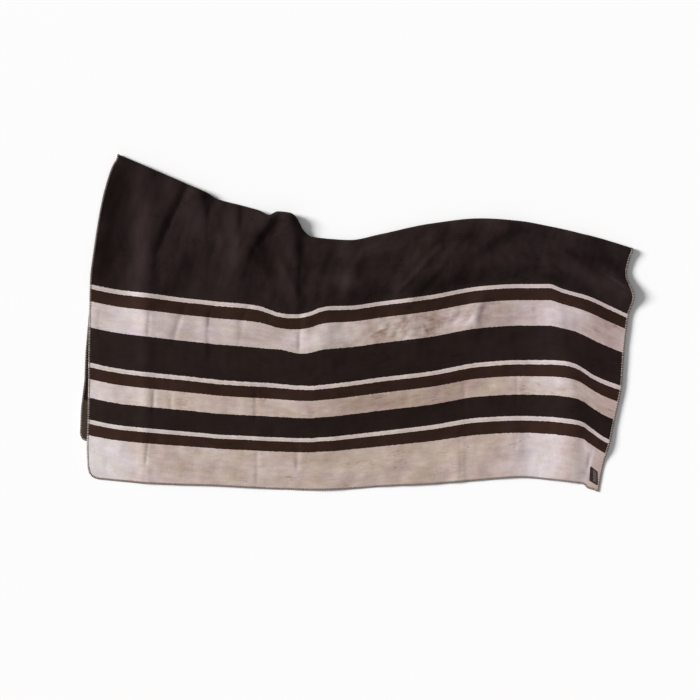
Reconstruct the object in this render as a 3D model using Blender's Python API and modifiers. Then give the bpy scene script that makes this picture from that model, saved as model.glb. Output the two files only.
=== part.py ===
"""A striped fleece blanket, folded once and laid down, with a patch sewn to one corner.

The cloth is one rectangle of heavy fleece. It is doubled over along its middle, so that the near
half lies on the far half, and the fold runs along the back, at +Y. The near half keeps the soft
folds that it has from being thrown over a back, and the far half lies flat on the ground.
"""

import bpy
import numpy as np

MM = 0.001

# The cloth, in millimetres.
CLOTH_THICKNESS = 4.0
GAP_BETWEEN_LAYERS = 3.0
NEAR_CORNER_RADIUS = 38.0
FAR_CORNER_RADIUS = 24.0

# The rolled edge along the fold, in millimetres: how far it reaches back and how much it stands up.
ROLL_REACH = 8.0
ROLL_HEIGHT = 14.0
ROLL_FADE = 50.0
ROLL_REACH_PER_RIDGE_HEIGHT = 0.25

# Where the far hem lies behind the near hem, in millimetres: most of the way, and more at each end.
FAR_HEM_BEHIND = 110.0
FAR_HEM_LEFT_RISE = 30.0
FAR_HEM_RIGHT_RISE = 80.0
LEFT_RISE_FROM, LEFT_RISE_TO = -1030.0, -650.0
RIGHT_RISE_FROM, RIGHT_RISE_TO = 350.0, 850.0

# The near half steps down to the ground in front of the far hem, over this stretch, in millimetres.
STEP_STARTS, STEP_ENDS = 5.0, 95.0

# One row for each section from left to right, in millimetres: where it is, and how far back the hem,
# the top of each thin stripe and the fold lie there.
SECTION_COLUMNS = ("x", "hem", "stripe_3", "stripe_2", "stripe_1", "fold")
SECTIONS = (
    (-1050, -585, -361, -144, 152, 695),
    (-905, -600, -391, -175, 123, 638),
    (-785, -610, -403, -190, 109, 587),
    (-640, -616, -416, -205, 90, 524),
    (-560, -618, -423, -214, 82, 488),
    (-535, -619, -426, -217, 79, 471),
    (-425, -625, -431, -225, 70, 441),
    (-367, -628, -434, -228, 61, 424),
    (-332, -630, -436, -230, 49, 408),
    (-298, -631, -437, -233, 37, 421),
    (-253, -632, -439, -237, 31, 416),
    (-230, -633, -440, -239, 31, 401),
    (-203, -634, -440, -240, 34, 351),
    (-173, -634, -440, -241, 41, 326),
    (-139, -634, -437, -238, 55, 321),
    (-100, -633, -435, -234, 62, 317),
    (-25, -630, -427, -225, 64, 313),
    (90, -621, -414, -209, 79, 335),
    (280, -612, -391, -186, 104, 375),
    (470, -597, -362, -152, 137, 395),
    (620, -586, -356, -143, 146, 385),
    (728, -595, -359, -143, 146, 366),
    (780, -600, -364, -146, 128, 355),
    (826, -606, -370, -156, 115, 344),
    (861, -611, -380, -175, 106, 335),
    (876, -626, -391, -185, 101, 332),
    (895, -632, -405, -197, 94, 327),
    (940, -650, -437, -218, 73, 315),
    (1055, -690, -483, -258, 19, 279),
)

# One row for each height along the two raw ends, in millimetres. The position counts the lines of
# SECTIONS: 0 is the near hem, 4 the fold and 5 the far hem, and the far half lies under the near one.
END_COLUMNS = ("position", "left", "right")
ENDS = (
    (0.0, -1020, 917),
    (0.5, -1023, 936),
    (1.0, -1019, 963),
    (1.5, -1017, 984),
    (2.0, -1016, 1006),
    (2.5, -1014, 1015),
    (3.0, -1011, 1032),
    (3.3, -993, 1051),
    (3.6, -969, 1024),
    (3.85, -939, 1035),
    (4.0, -906, 1047),
    (4.15, -953, 1010),
    (4.3, -978, 1013),
    (4.5, -1009, 995),
    (4.6, -1019, 986),
    (4.7, -1029, 970),
    (4.8, -1033, 955),
    (4.9, -1046, 930),
    (5.0, -1050, 905),
)

# One row for each soft ridge of the near half, in millimetres: its crest at the front, midway and at the
# back, its height at the front and at the back, and its width on the left and on the right.
RIDGE_COLUMNS = (
    "front_x", "front_y", "middle_x", "middle_y", "back_x", "back_y",
    "front_height", "back_height", "left", "right",
)
RIDGES = (
    (-794, 84, -788, 312, -785, 560, 6, 9, 60, 46),
    (-804, -593, -800, -296, -794, 46, 4, 5, 30, 26),
    (-786, 210, -744, 369, -668, 520, 5, 11, 60, 15),
    (-700, 141, -655, 369, -600, 505, 5, 9, 40, 40),
    (-570, 255, -576, 390, -592, 500, 6, 17, 55, 15),
    (-448, 340, -452, 390, -452, 441, 4, 8, 30, 12),
    (-455, 160, -400, 300, -330, 395, 9, 20, 50, 24),
    (-226, 84, -238, 293, -256, 418, 8, 30, 52, 32),
    (-222, 91, -260, 179, -298, 266, 6, 7, 22, 18),
    (-124, -114, -120, 8, -116, 122, 7, 9, 60, 50),
    (-30, 95, -10, 179, 0, 260, 15, 10, 38, 30),
    (206, 110, 318, 228, 410, 340, 14, 14, 40, 22),
    (330, 130, 420, 250, 560, 350, 8, 13, 50, 34),
    (165, 198, 234, 285, 283, 346, 9, 11, 24, 16),
    (620, 200, 612, 290, 600, 370, 4, 8, 80, 60),
    (447, -68, 452, 15, 450, 84, 7, 10, 34, 12),
    (819, -562, 808, -239, 743, 122, 12, 6, 60, 16),
    (868, -720, 867, -505, 852, -350, 12, 6, 12, 12),
    (1051, 122, 990, 175, 937, 228, 18, 12, 26, 26),
    (933, 228, 910, 266, 887, 312, 7, 9, 90, 36),
    (-576, -87, -574, -36, -572, 15, 5, 5, 40, 14),
    (397, -593, 395, -500, 393, -430, 5, 4, 40, 14),
    (604, -560, 606, -380, 606, -205, 4, 4, 50, 14),
)
RUN_OUT = 70.0

# The stiff patch keeps the cloth flat under it: the ridges die out over these stretches, in millimetres.
BED_FROM_X, BED_TO_X = 862.0, 874.0
BED_FROM_Y, BED_TO_Y = -480.0, -530.0

# How many columns of faces each stretch from left to right gets, so that narrow ridges get more.
COLUMN_ZONES = (
    (-1020, -980, 3), (-980, -830, 4), (-830, -730, 10), (-730, -710, 1), (-710, -590, 9), (-590, -500, 3),
    (-500, -380, 10), (-380, -230, 8), (-230, -120, 3), (-120, 20, 7), (20, 540, 17), (540, 780, 6),
    (780, 920, 5), (920, 965, 4), (965, 1000, 2),
)
NEAR_ROWS_PER_LINE = (5, 4, 6, 8)
ROLL_ROWS = 4
FAR_ROWS = 3

# The patch on the right front corner, in millimetres.
PATCH_CORNERS = ((887, -542), (914, -564), (916, -618), (884, -599))
PATCH_THICKNESS = 1.6
PATCH_CLEARANCE = 0.3
PATCH_CORNER_RADIUS = 3.0
PATCH_CORNER_STEPS = 3

FLEECE_COLOUR = (0.019, 0.013, 0.012, 1.0)
PATCH_COLOUR = (0.032, 0.017, 0.015, 1.0)


def columns_of(rows, names):
    """A table's columns by name, as arrays."""
    return dict(zip(names, np.array(rows, float).T))


SECTION = columns_of(SECTIONS, SECTION_COLUMNS)
END = columns_of(ENDS, END_COLUMNS)


def smooth_step(low, high, value):
    share = np.clip((value - low) / (high - low), 0.0, 1.0)
    return share * share * (3.0 - 2.0 * share)


def smooth_through(knots, values, at):
    """A cubic curve through the knots that never swings past them, read at the places asked for."""
    steps = np.diff(knots)
    slopes = np.diff(values) / steps
    product = slopes[:-1] * slopes[1:]
    total = np.where(product > 0, slopes[:-1] + slopes[1:], 1.0)
    inner = np.where(product > 0, 2.0 * product / total, 0.0)
    tangents = np.concatenate(([slopes[0]], inner, [slopes[-1]]))
    index = np.clip(np.searchsorted(knots, at) - 1, 0, len(steps) - 1)
    share = np.clip((at - knots[index]) / steps[index], 0.0, 1.0)
    rise = values[index + 1] - values[index]
    start = tangents[index] * steps[index]
    end = tangents[index + 1] * steps[index]
    bend = share * (start + share * (3.0 * rise - 2.0 * start - end + share * (start + end - 2.0 * rise)))
    return values[index] + bend


def line(name, x):
    return smooth_through(SECTION["x"], SECTION[name], x)


def far_hem(x):
    left = FAR_HEM_LEFT_RISE * (1.0 - smooth_step(LEFT_RISE_FROM, LEFT_RISE_TO, x))
    right = FAR_HEM_RIGHT_RISE * smooth_step(RIGHT_RISE_FROM, RIGHT_RISE_TO, x)
    return line("hem", x) + FAR_HEM_BEHIND + left + right


def patch_bed(x, y):
    return smooth_step(BED_FROM_X, BED_TO_X, x) * smooth_step(BED_FROM_Y, BED_TO_Y, y)


def ridge_height(x, y):
    """How much the soft ridges lift the near half above its rest."""
    height = np.zeros_like(x)
    for row in RIDGES:
        ridge = dict(zip(RIDGE_COLUMNS, row))
        knots = np.array([ridge["front_y"], ridge["middle_y"], ridge["back_y"]], float)
        crest = smooth_through(knots, np.array([ridge["front_x"], ridge["middle_x"], ridge["back_x"]], float), y)
        lean = (ridge["front_x"] - ridge["back_x"]) / (ridge["back_y"] - ridge["front_y"])
        aside = (x - crest) / np.hypot(1.0, lean)
        width = np.where(aside < 0, ridge["left"], ridge["right"])
        share = np.clip((ridge["back_y"] - y) / (ridge["back_y"] - ridge["front_y"]), 0.0, 1.0)
        tall = ridge["back_height"] + share * (ridge["front_height"] - ridge["back_height"])
        fades_in = smooth_step(ridge["back_y"] + RUN_OUT, ridge["back_y"], y)
        fades_out = smooth_step(ridge["front_y"] - RUN_OUT, ridge["front_y"], y)
        height += tall * np.exp(-((aside / width) ** 2)) * fades_in * fades_out
    return height * (1.0 - patch_bed(x, y))


def near_height(x, y):
    """The height of the near half's middle surface: on the far half, and on the ground past its hem."""
    on_ground = CLOTH_THICKNESS / 2.0
    on_far_half = CLOTH_THICKNESS + GAP_BETWEEN_LAYERS + CLOTH_THICKNESS / 2.0
    edge = far_hem(x)
    over = smooth_step(edge - STEP_ENDS, edge - STEP_STARTS, y)
    back = (line("fold", x) - y) / ROLL_FADE
    roll = (ROLL_HEIGHT + on_ground - on_far_half) * np.exp(-(back**2))
    return on_ground + over * (on_far_half - on_ground) + roll + ridge_height(x, y)


def roll_reach(x):
    return ROLL_REACH + ROLL_REACH_PER_RIDGE_HEIGHT * ridge_height(x, line("fold", x) - ROLL_REACH)


def corner_lift(x, left, radius):
    """How far a round corner draws the hem back, by the distance from the left end."""
    inside = np.clip(radius - (x - left), 0.0, radius)
    return radius - np.sqrt(radius**2 - inside**2)


def near_plan_y(x, left, position):
    """Where a point of the near half lies, by its position between the hem at 0 and the fold at 4."""
    names = ("hem", "stripe_3", "stripe_2", "stripe_1")
    lines = [line(name, x) for name in names] + [line("fold", x) - roll_reach(x)]
    below = min(int(position), 3)
    y = lines[below] + (position - below) * (lines[below + 1] - lines[below])
    fade = max(0.0, 1.0 - position / 0.6) ** 2
    return y + fade * corner_lift(x, left, NEAR_CORNER_RADIUS)


def far_plan_y(x, left, position):
    """The same for the far half, between the fold at 4 and the far hem at 5."""
    back = line("fold", x) - roll_reach(x)
    y = back + (position - 4.0) * (far_hem(x) - back)
    fade = max(0.0, 1.0 - (5.0 - position) / 0.3) ** 2
    return y + fade * corner_lift(x, left, FAR_CORNER_RADIUS)


def column_shares():
    """How far along from left to right each column of points lies, from 0 to 1."""
    first, last = COLUMN_ZONES[0][0], COLUMN_ZONES[-1][1]
    places = [first]
    for start, end, count in COLUMN_ZONES:
        places += [start + (end - start) * (k + 1) / count for k in range(count)]
    return (np.array(places, float) - first) / (last - first)


def cloth_rows():
    """The cloth's middle surface as rows of points, from the near hem over the fold to the far hem."""
    shares = column_shares()
    rows = []

    def between_ends(position):
        left = smooth_through(END["position"], END["left"], np.array([position]))[0]
        right = smooth_through(END["position"], END["right"], np.array([position]))[0]
        return left, left + shares * (right - left)

    positions = [k + j / count for k, count in enumerate(NEAR_ROWS_PER_LINE) for j in range(count)] + [4.0]
    for position in positions:
        left, x = between_ends(position)
        y = near_plan_y(x, left, position)
        rows.append(np.stack([x, y, near_height(x, y)], axis=1))

    x, y, top = rows[-1].T
    bottom = CLOTH_THICKNESS / 2.0
    for k in range(1, ROLL_ROWS):
        turn = np.pi * k / ROLL_ROWS
        z = (top + bottom) / 2.0 + (top - bottom) / 2.0 * np.cos(turn)
        rows.append(np.stack([x, y + roll_reach(x) * np.sin(turn), z], axis=1))

    for k in range(FAR_ROWS + 1):
        left, x = between_ends(4.0 + k / FAR_ROWS)
        y = far_plan_y(x, left, 4.0 + k / FAR_ROWS)
        rows.append(np.stack([x, y, np.full_like(x, bottom)], axis=1))
    return np.array(rows)


def material(name, colour, roughness):
    made = bpy.data.materials.new(name)
    made.use_nodes = True
    shader = made.node_tree.nodes["Principled BSDF"]
    shader.inputs["Base Color"].default_value = colour
    shader.inputs["Roughness"].default_value = roughness
    shader.inputs["Metallic"].default_value = 0.0
    return made


def into_part(obj, name, collection, look):
    obj.name = name
    obj.data.name = name
    obj.data.materials.append(look)
    for held in list(obj.users_collection):
        held.objects.unlink(obj)
    collection.objects.link(obj)
    return obj


def add_blanket(collection):
    rows = cloth_rows() * MM
    row_count, column_count = rows.shape[:2]
    bpy.ops.mesh.primitive_grid_add(
        x_subdivisions=column_count - 1, y_subdivisions=row_count - 1, size=2.0, location=(0, 0, 0),
    )
    blanket = bpy.context.object
    for point in blanket.data.vertices:
        column = round((point.co.x + 1.0) / 2.0 * (column_count - 1))
        row = round((point.co.y + 1.0) / 2.0 * (row_count - 1))
        point.co = rows[row, column]
    blanket.data.shade_smooth()
    thick = blanket.modifiers.new("cloth thickness", "SOLIDIFY")
    thick.thickness = CLOTH_THICKNESS * MM
    thick.offset = 0.0
    return into_part(blanket, "blanket", collection, material("fleece", FLEECE_COLOUR, 0.95))


def add_corner_patch(collection):
    """A flat slip of leather on the corner that lies on the ground in front of the far hem."""
    middle = np.mean(PATCH_CORNERS, axis=0)
    bpy.ops.mesh.primitive_plane_add(size=2.0, location=(0, 0, 0))
    patch = bpy.context.object
    order = {(-1, 1): 0, (1, 1): 1, (1, -1): 2, (-1, -1): 3}
    for point in patch.data.vertices:
        corner = PATCH_CORNERS[order[(round(point.co.x), round(point.co.y))]]
        point.co = ((corner[0] - middle[0]) * MM, (corner[1] - middle[1]) * MM, 0.0)
    height = CLOTH_THICKNESS + PATCH_CLEARANCE + PATCH_THICKNESS / 2.0
    patch.location = (middle[0] * MM, middle[1] * MM, height * MM)
    rounded = patch.modifiers.new("round corners", "BEVEL")
    rounded.affect = "VERTICES"
    rounded.width = PATCH_CORNER_RADIUS * MM
    rounded.segments = PATCH_CORNER_STEPS
    thick = patch.modifiers.new("leather thickness", "SOLIDIFY")
    thick.thickness = PATCH_THICKNESS * MM
    thick.offset = 0.0
    return into_part(patch, "corner_patch", collection, material("patch leather", PATCH_COLOUR, 0.6))


def main():
    for obj in list(bpy.data.objects):
        bpy.data.objects.remove(obj, do_unlink=True)
    collection = bpy.data.collections.new("folded fleece blanket")
    bpy.context.scene.collection.children.link(collection)
    add_blanket(collection)
    add_corner_patch(collection)


main()
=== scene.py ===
import bpy
import bmesh
import numpy as np
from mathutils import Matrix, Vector


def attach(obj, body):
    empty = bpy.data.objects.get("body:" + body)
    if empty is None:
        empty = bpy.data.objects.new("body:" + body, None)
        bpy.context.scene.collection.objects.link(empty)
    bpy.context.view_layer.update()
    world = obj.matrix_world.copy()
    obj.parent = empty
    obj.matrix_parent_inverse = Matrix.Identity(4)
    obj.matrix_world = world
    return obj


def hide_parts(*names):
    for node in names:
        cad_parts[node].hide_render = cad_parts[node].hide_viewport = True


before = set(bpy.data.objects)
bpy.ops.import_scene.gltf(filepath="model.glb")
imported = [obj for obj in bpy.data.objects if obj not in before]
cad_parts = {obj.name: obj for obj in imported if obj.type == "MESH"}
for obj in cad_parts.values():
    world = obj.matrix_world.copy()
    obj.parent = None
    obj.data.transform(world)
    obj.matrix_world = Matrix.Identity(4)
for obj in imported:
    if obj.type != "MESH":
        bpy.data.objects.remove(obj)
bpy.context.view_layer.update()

# The blanket
# One rectangle of heavy double-faced fleece, knitted in stripes and then brushed on both faces. It is
# doubled over once, with the near half on the far half, and keeps the soft folds that it once hung in.

# The sizes are in millimetres where no comment says otherwise, and MM turns them to metres.
MM = 0.001
CLOTH_THICKNESS = 4.0
GAP_BETWEEN_LAYERS = 3.0
CLOTH_LENGTH = 2060.0
CLOTH_WIDTH = 2100.0
NEAR_CORNER_RADIUS = 38.0
FAR_CORNER_RADIUS = 24.0
# The round corners fade out by these shares of the way from the hem to the next line of the table below.
NEAR_CORNER_FADE, FAR_CORNER_FADE = 0.6, 0.3

# The rolled edge along the fold: how far it reaches back, how much it stands up, how soon that dies out,
# and how much further back it reaches for each millimetre of a ridge that meets it.
ROLL_REACH = 8.0
ROLL_HEIGHT = 14.0
ROLL_FADE = 50.0
ROLL_REACH_PER_RIDGE_HEIGHT = 0.25

# Where the far hem lies behind the near hem, in millimetres: most of the way, and more at each end.
FAR_HEM_BEHIND = 110.0
FAR_HEM_LEFT_RISE = 30.0
FAR_HEM_RIGHT_RISE = 80.0
LEFT_RISE_FROM, LEFT_RISE_TO = -1030.0, -650.0
RIGHT_RISE_FROM, RIGHT_RISE_TO = 350.0, 850.0

# The near half steps down to the ground in front of the far hem, over this stretch, in millimetres.
STEP_STARTS, STEP_ENDS = 5.0, 95.0

# One row for each section from left to right, in millimetres: where it is, and how far back the hem,
# the top of each thin stripe and the fold lie there.
SECTION_COLUMNS = ("x", "hem", "stripe_3", "stripe_2", "stripe_1", "fold")
SECTIONS = (
    (-1050, -585, -361, -144, 152, 695),
    (-905, -600, -391, -175, 123, 638),
    (-785, -610, -403, -190, 109, 587),
    (-640, -616, -416, -205, 90, 524),
    (-560, -618, -423, -214, 82, 488),
    (-535, -619, -426, -217, 79, 471),
    (-425, -625, -431, -225, 70, 441),
    (-367, -628, -434, -228, 61, 424),
    (-332, -630, -436, -230, 49, 408),
    (-298, -631, -437, -233, 37, 421),
    (-253, -632, -439, -237, 31, 416),
    (-230, -633, -440, -239, 31, 401),
    (-203, -634, -440, -240, 34, 351),
    (-173, -634, -440, -241, 41, 326),
    (-139, -634, -437, -238, 55, 321),
    (-100, -633, -435, -234, 62, 317),
    (-25, -630, -427, -225, 64, 313),
    (90, -621, -414, -209, 79, 335),
    (280, -612, -391, -186, 104, 375),
    (470, -597, -362, -152, 137, 395),
    (620, -586, -356, -143, 146, 385),
    (728, -595, -359, -143, 146, 366),
    (780, -600, -364, -146, 128, 355),
    (826, -606, -370, -156, 115, 344),
    (861, -611, -380, -175, 106, 335),
    (876, -626, -391, -185, 101, 332),
    (895, -632, -405, -197, 94, 327),
    (940, -650, -437, -218, 73, 315),
    (1055, -690, -483, -258, 19, 279),
)

# One row for each place along the two raw ends, in millimetres. The position counts the lines of
# SECTIONS: 0 is the near hem, 4 the fold and 5 the far hem, and the far half lies under the near one.
END_COLUMNS = ("position", "left", "right")
ENDS = (
    (0.0, -1020, 917),
    (0.5, -1023, 936),
    (1.0, -1019, 963),
    (1.5, -1017, 984),
    (2.0, -1016, 1006),
    (2.5, -1014, 1015),
    (3.0, -1011, 1032),
    (3.3, -993, 1051),
    (3.6, -969, 1024),
    (3.85, -937, 1035),
    (3.93, -922, 1041),
    (4.0, -906, 1047),
    (4.15, -953, 1010),
    (4.3, -978, 1013),
    (4.5, -1009, 995),
    (4.6, -1019, 986),
    (4.7, -1029, 970),
    (4.8, -1033, 955),
    (4.9, -1046, 930),
    (5.0, -1050, 905),
)

# One row for each soft ridge of the near half, in millimetres: its crest at the front, midway and at the
# back, its height at the front and at the back, and its width on the left and on the right.
RIDGE_COLUMNS = (
    "front_x", "front_y", "middle_x", "middle_y", "back_x", "back_y",
    "front_height", "back_height", "left", "right",
)
RIDGES = (
    (-794, 84, -788, 312, -785, 560, 6, 9, 60, 46),
    (-804, -593, -800, -296, -794, 46, 4, 5, 30, 26),
    (-786, 210, -744, 369, -668, 520, 5, 9, 60, 26),
    (-700, 141, -655, 369, -600, 505, 5, 9, 40, 40),
    (-570, 255, -576, 390, -592, 500, 5, 12, 55, 24),
    (-448, 340, -452, 390, -452, 441, 4, 8, 30, 12),
    (-455, 160, -400, 300, -330, 395, 9, 19, 50, 32),
    (-226, 84, -238, 293, -256, 418, 8, 30, 52, 32),
    (-222, 91, -260, 179, -298, 266, 6, 7, 22, 18),
    (-124, -114, -120, 8, -116, 122, 5, 6, 60, 60),
    (-30, 95, -10, 179, 0, 260, 11, 7, 38, 52),
    (206, 110, 318, 228, 410, 340, 11, 12, 40, 30),
    (330, 130, 420, 250, 560, 350, 8, 13, 50, 34),
    (176, 172, 250, 258, 303, 328, 8, 10, 24, 26),
    (620, 200, 612, 290, 600, 370, 4, 8, 80, 60),
    (432, -68, 450, 15, 474, 84, 5, 7, 40, 27),
    (819, -562, 808, -239, 743, 122, 7, 5, 60, 44),
    (1051, 122, 990, 175, 937, 228, 18, 12, 26, 26),
    (933, 228, 910, 266, 887, 312, 7, 9, 90, 36),
    (-576, -87, -574, -36, -572, 15, 5, 5, 40, 14),
    (397, -593, 395, -500, 393, -430, 5, 4, 40, 14),
    (604, -560, 606, -380, 606, -205, 3, 3, 60, 30),
)
# How far a ridge runs on past both its ends while it dies out.
RIDGE_RUN_OUT = 70.0

# The stiff patch keeps the cloth flat under it: the ridges die out over these stretches, in millimetres.
BED_FROM_X, BED_TO_X = 872.0, 884.0
BED_FROM_Y, BED_TO_Y = -480.0, -530.0

# One row for each fine crease, in millimetres: a straight line between two points, how deep it is
# pressed, or raised where that is below 0, and how wide it is on each side.
CREASE_COLUMNS = ("x1", "y1", "x2", "y2", "depth", "width")
CREASES = (
    (-640, 515, -709, 369, 4, 16),
    (-709, 369, -758, 266, 3, 16),
    (-758, 266, -768, 130, 1.5, 16),
    (-561, 425, -562, 330, 2.5, 10),
    (-286, 402, -351, 327, 4.5, 24),
    (-351, 327, -389, 274, 4.5, 24),
    (-389, 274, -420, 180, 3.5, 20),
    (-200, 345, -213, 200, 1.5, 12),
    (-213, 200, -215, 80, 2.5, 11),
    (-215, 25, -216, -95, 4.5, 7),
    (-190, 5, -186, -95, -3, 26),
    (-540, 430, -505, 300, -3, 16),
    (-440, 312, -478, 195, -3.5, 14),
    (163, 122, 318, 284, -6.5, 17),
    (6, 306, 165, 338, 2, 7),
    (21, 289, 203, 327, 2, 7),
    (70, 277, 260, 323, 2, 7),
    (120, 262, 250, 292, 1.5, 7),
    (-967, 70, -969, -40, 2.6, 8),
    (-893, 20, -893, -20, 1.6, 8),
    (-786, 30, -790, -40, 3.0, 8),
    (-655, 50, -675, 0, 2.6, 9),
    (-675, 0, -696, -75, 3.8, 9),
    (-552, 25, -556, -60, 4.4, 9),
    (-434, 0, -440, -85, 2.6, 8),
    (-410, 55, -440, 5, 2.6, 8),
    (-768, -265, -770, -325, 3.2, 7),
    (-706, -250, -704, -330, 2.2, 8),
    (-790, -450, -797, -520, 2.2, 6),
    (-797, -520, -806, -600, 1.3, 7),
    (-382, -275, -382, -360, 3.0, 8),
    (-226, -455, -224, -545, 3.6, 8),
    (-376, -480, -378, -600, 1.8, 8),
    (492, 66, 452, -24, 1.4, 20),
    (850, 232, 940, 200, -2.5, 12),
    (940, 200, 1035, 130, -4, 12),
    (394, -420, 398, -610, 2.4, 9),
    (409, -240, 410, -320, 2.0, 8),
    (604, -435, 604, -470, 1.4, 9),
    (610, -210, 608, -300, 2.2, 9),
)
CREASE_RUN_OUT = 24.0
# The form of a crease from side to side: 1 is a sharp fold, and 2 a round hollow.
CREASE_POWER = 1.3

# The unevenness of the brushed cloth between its folds: waves of a length and a height in millimetres, a
# few of each, which turn from the stripes by up to the spread, in radians. The black ground next to the
# fold has waves of its own, and so has the crumple in front of it, right of the middle.
SWELL_COLUMNS = ("length", "count", "height", "spread", "where")
SWELL_WAVES = (
    (310, 12, 1.5, 3.14, "all over"),
    (170, 16, 0.9, 3.14, "all over"),
    (85, 20, 0.45, 3.14, "all over"),
    (40, 28, 0.2, 3.14, "all over"),
    (120, 16, 1.2, 0.5, "ground"),
    (62, 20, 0.55, 0.6, "ground"),
    (33, 24, 0.2, 0.8, "ground"),
    (58, 20, 1.4, 3.14, "crumple"),
    (34, 24, 0.9, 3.14, "crumple"),
)
# How much each lifts the cloth, so that few of its waves dip below the cloth's rest.
SWELL_REST = {"all over": 1.5, "ground": 1.5, "crumple": 1.0}
# From where to where, past the last thin stripe, the ground's waves set in, and the crumple's place.
GROUND_STARTS, GROUND_ENDS = -10.0, 60.0
CRUMPLE_X, CRUMPLE_BELOW_STRIPE, CRUMPLE_REACH_X, CRUMPLE_REACH_Y = 225.0, -105.0, 270.0, 75.0

# How finely the sheet is modelled: columns along the stripes, and rows between the lines of SECTIONS,
# round the roll and on the far half.
COLUMNS = 362
NEAR_ROWS_PER_LINE = (22, 20, 30, 38)
ROLL_ROWS = 10
FAR_ROWS = 10
# How much the columns close up towards both ends, as a share, so that the round corners come out round.
COLUMNS_CLOSE_UP = 0.006

# How far each line of SECTIONS is from the hem along the cloth, and how much of it the roll takes, in
# millimetres.
CLOTH_AT_LINE = (0.0, 212.0, 416.0, 709.0, 1035.0)
CLOTH_IN_ROLL = 30.0


def columns_of(rows, names):
    """The columns of a table by their names."""
    return dict(zip(names, np.array(rows, float).T))


SECTION = columns_of(SECTIONS, SECTION_COLUMNS)
END = columns_of(ENDS, END_COLUMNS)


def smooth_step(low, high, value):
    share = np.clip((value - low) / (high - low), 0.0, 1.0)
    return share * share * (3.0 - 2.0 * share)


def smooth_through(knots, values, at):
    """A cubic curve through the knots that never swings past them, read at the places asked for."""
    steps = np.diff(knots)
    slopes = np.diff(values) / steps
    product = slopes[:-1] * slopes[1:]
    total = np.where(product > 0, slopes[:-1] + slopes[1:], 1.0)
    inner = np.where(product > 0, 2.0 * product / total, 0.0)
    tangents = np.concatenate(([slopes[0]], inner, [slopes[-1]]))
    index = np.clip(np.searchsorted(knots, at) - 1, 0, len(steps) - 1)
    share = np.clip((at - knots[index]) / steps[index], 0.0, 1.0)
    rise = values[index + 1] - values[index]
    start = tangents[index] * steps[index]
    end = tangents[index + 1] * steps[index]
    bend = share * (start + share * (3.0 * rise - 2.0 * start - end + share * (start + end - 2.0 * rise)))
    return values[index] + bend


def line(name, x):
    """How far back one of the lines of SECTIONS lies."""
    return smooth_through(SECTION["x"], SECTION[name], x)


def far_hem(x):
    left = FAR_HEM_LEFT_RISE * (1.0 - smooth_step(LEFT_RISE_FROM, LEFT_RISE_TO, x))
    right = FAR_HEM_RIGHT_RISE * smooth_step(RIGHT_RISE_FROM, RIGHT_RISE_TO, x)
    return line("hem", x) + FAR_HEM_BEHIND + left + right


def patch_bed(x, y):
    """1 under the patch and 0 away from it."""
    return smooth_step(BED_FROM_X, BED_TO_X, x) * smooth_step(BED_FROM_Y, BED_TO_Y, y)


def ridge_height(x, y):
    """How much the soft ridges lift the near half above its rest."""
    height = np.zeros_like(x)
    for row in RIDGES:
        ridge = dict(zip(RIDGE_COLUMNS, row))
        knots = np.array([ridge["front_y"], ridge["middle_y"], ridge["back_y"]], float)
        crossings = np.array([ridge["front_x"], ridge["middle_x"], ridge["back_x"]], float)
        crest = smooth_through(knots, crossings, y)
        lean = (ridge["front_x"] - ridge["back_x"]) / (ridge["back_y"] - ridge["front_y"])
        aside = (x - crest) / np.hypot(1.0, lean)
        width = np.where(aside < 0, ridge["left"], ridge["right"])
        share = np.clip((ridge["back_y"] - y) / (ridge["back_y"] - ridge["front_y"]), 0.0, 1.0)
        tall = ridge["back_height"] + share * (ridge["front_height"] - ridge["back_height"])
        fades_in = smooth_step(ridge["back_y"] + RIDGE_RUN_OUT, ridge["back_y"], y)
        fades_out = smooth_step(ridge["front_y"] - RIDGE_RUN_OUT, ridge["front_y"], y)
        height += tall * np.exp(-((aside / width) ** 2)) * fades_in * fades_out
    return height * (1.0 - patch_bed(x, y))


def crease_depth(x, y):
    """How far the fine creases press into the near half, or raise it where this is below 0."""
    depth = np.zeros_like(x)
    for row in CREASES:
        crease = dict(zip(CREASE_COLUMNS, row))
        along_x, along_y = crease["x2"] - crease["x1"], crease["y2"] - crease["y1"]
        length = np.hypot(along_x, along_y)
        along = ((x - crease["x1"]) * along_x + (y - crease["y1"]) * along_y) / length
        aside = ((x - crease["x1"]) * along_y - (y - crease["y1"]) * along_x) / length
        fades_in = smooth_step(-CREASE_RUN_OUT, 0.0, along)
        fades_out = smooth_step(length + CREASE_RUN_OUT, length, along)
        across = np.exp(-np.abs(aside / crease["width"]) ** CREASE_POWER)
        depth += crease["depth"] * across * (fades_in * fades_out)
    return depth * (1.0 - patch_bed(x, y))


def swell(x, y):
    """How much the unevenness lifts the near half above its rest."""
    chance = np.random.default_rng(7)
    before_stripe = y - line("stripe_1", x)
    crumple = ((x - CRUMPLE_X) / CRUMPLE_REACH_X) ** 2
    crumple = crumple + ((before_stripe - CRUMPLE_BELOW_STRIPE) / CRUMPLE_REACH_Y) ** 2
    shares = {
        "all over": np.ones_like(x),
        "ground": smooth_step(GROUND_STARTS, GROUND_ENDS, before_stripe),
        "crumple": np.exp(-(crumple**2)),
    }
    total = sum(SWELL_REST[where] * share for where, share in shares.items())
    for row in SWELL_WAVES:
        wave = dict(zip(SWELL_COLUMNS, row))
        for _ in range(wave["count"]):
            turn = chance.uniform(-wave["spread"], wave["spread"])
            phase = chance.uniform(0.0, 2.0 * np.pi)
            way = (x * np.cos(turn) + y * np.sin(turn)) / wave["length"]
            tall = wave["height"] * shares[wave["where"]] / np.sqrt(wave["count"])
            total = total + tall * np.sin(2.0 * np.pi * way + phase)
    return total


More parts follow.
